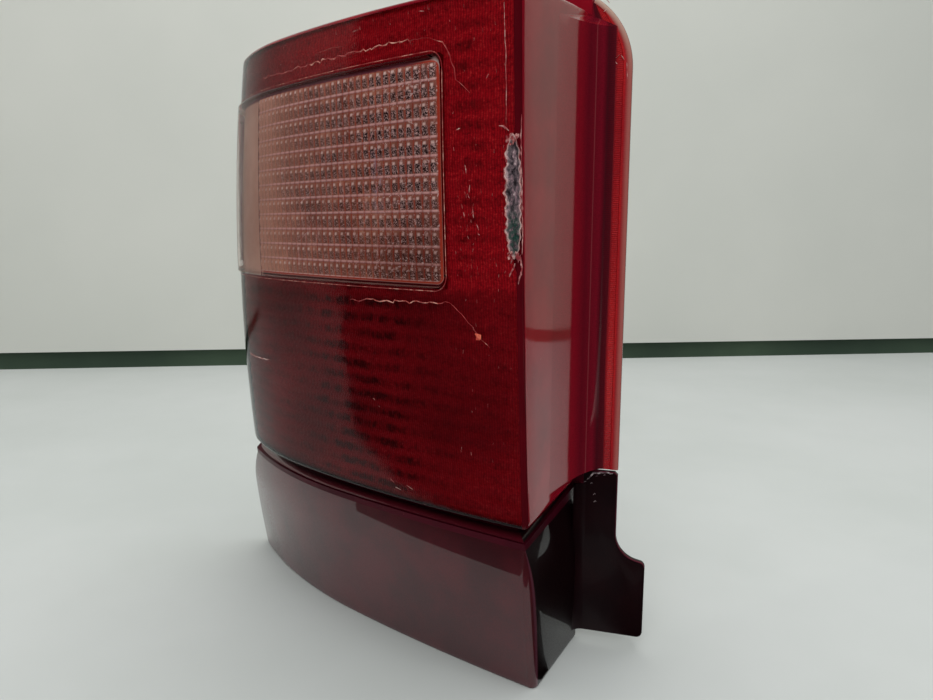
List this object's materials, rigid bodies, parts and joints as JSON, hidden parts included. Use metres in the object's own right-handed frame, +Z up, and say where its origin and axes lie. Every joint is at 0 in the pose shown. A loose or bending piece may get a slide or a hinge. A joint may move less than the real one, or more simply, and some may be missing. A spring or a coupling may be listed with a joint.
{
  "type": "tail light cluster",
  "caption": "Rear corner lamp cluster: red and clear lens wrapping the outer corner, painted filler panel with ear, rear housing with reflectors, bulb carrier and studs.",
  "frame": {"origin": "centre of the cluster's footprint, on the surface that the lower edge of the panel stands on", "axes": "+Z up, +X towards the flange and ear side, -Y towards the viewer of the lens front"},
  "size_m": [0.2671, 0.1806, 0.336],
  "materials": {
    "red_lens": "glossy moulded acrylic, scratched",
    "clear_window": "glossy clear acrylic with a pink cast and optic pillows",
    "panel_paint": "glossy metallic maroon paint",
    "black_plastic": "matt moulded plastic",
    "reflector": "metallised",
    "foam": "closed-cell foam and rubber",
    "brass": "plain",
    "steel": "zinc plated",
    "bulb_glass": "clear",
    "amber_glass": "amber"
  },
  "bodies": {
    "root": {"red_lens": "red_lens", "clear_window": "clear_window", "lower_panel": "panel_paint", "rear_housing": "black_plastic", "upper_reflector": "reflector", "lower_reflector": "reflector", "body_gasket": "foam", "carrier_gasket": "foam", "bulb_carrier": "black_plastic", "earth_strip": "brass", "feed_contacts": "brass", "connector_terminals": "brass", "mounting_studs": "steel", "panel_screws": "steel", "vent_cap": "foam", "reverse_bulb": "bulb_glass", "reverse_bulb_cap": "brass", "indicator_bulb": "amber_glass", "indicator_bulb_cap": "brass", "stop_bulb": "bulb_glass", "stop_bulb_cap": "brass", "fog_bulb": "bulb_glass", "fog_bulb_cap": "brass"}
  },
  "joints": []
}
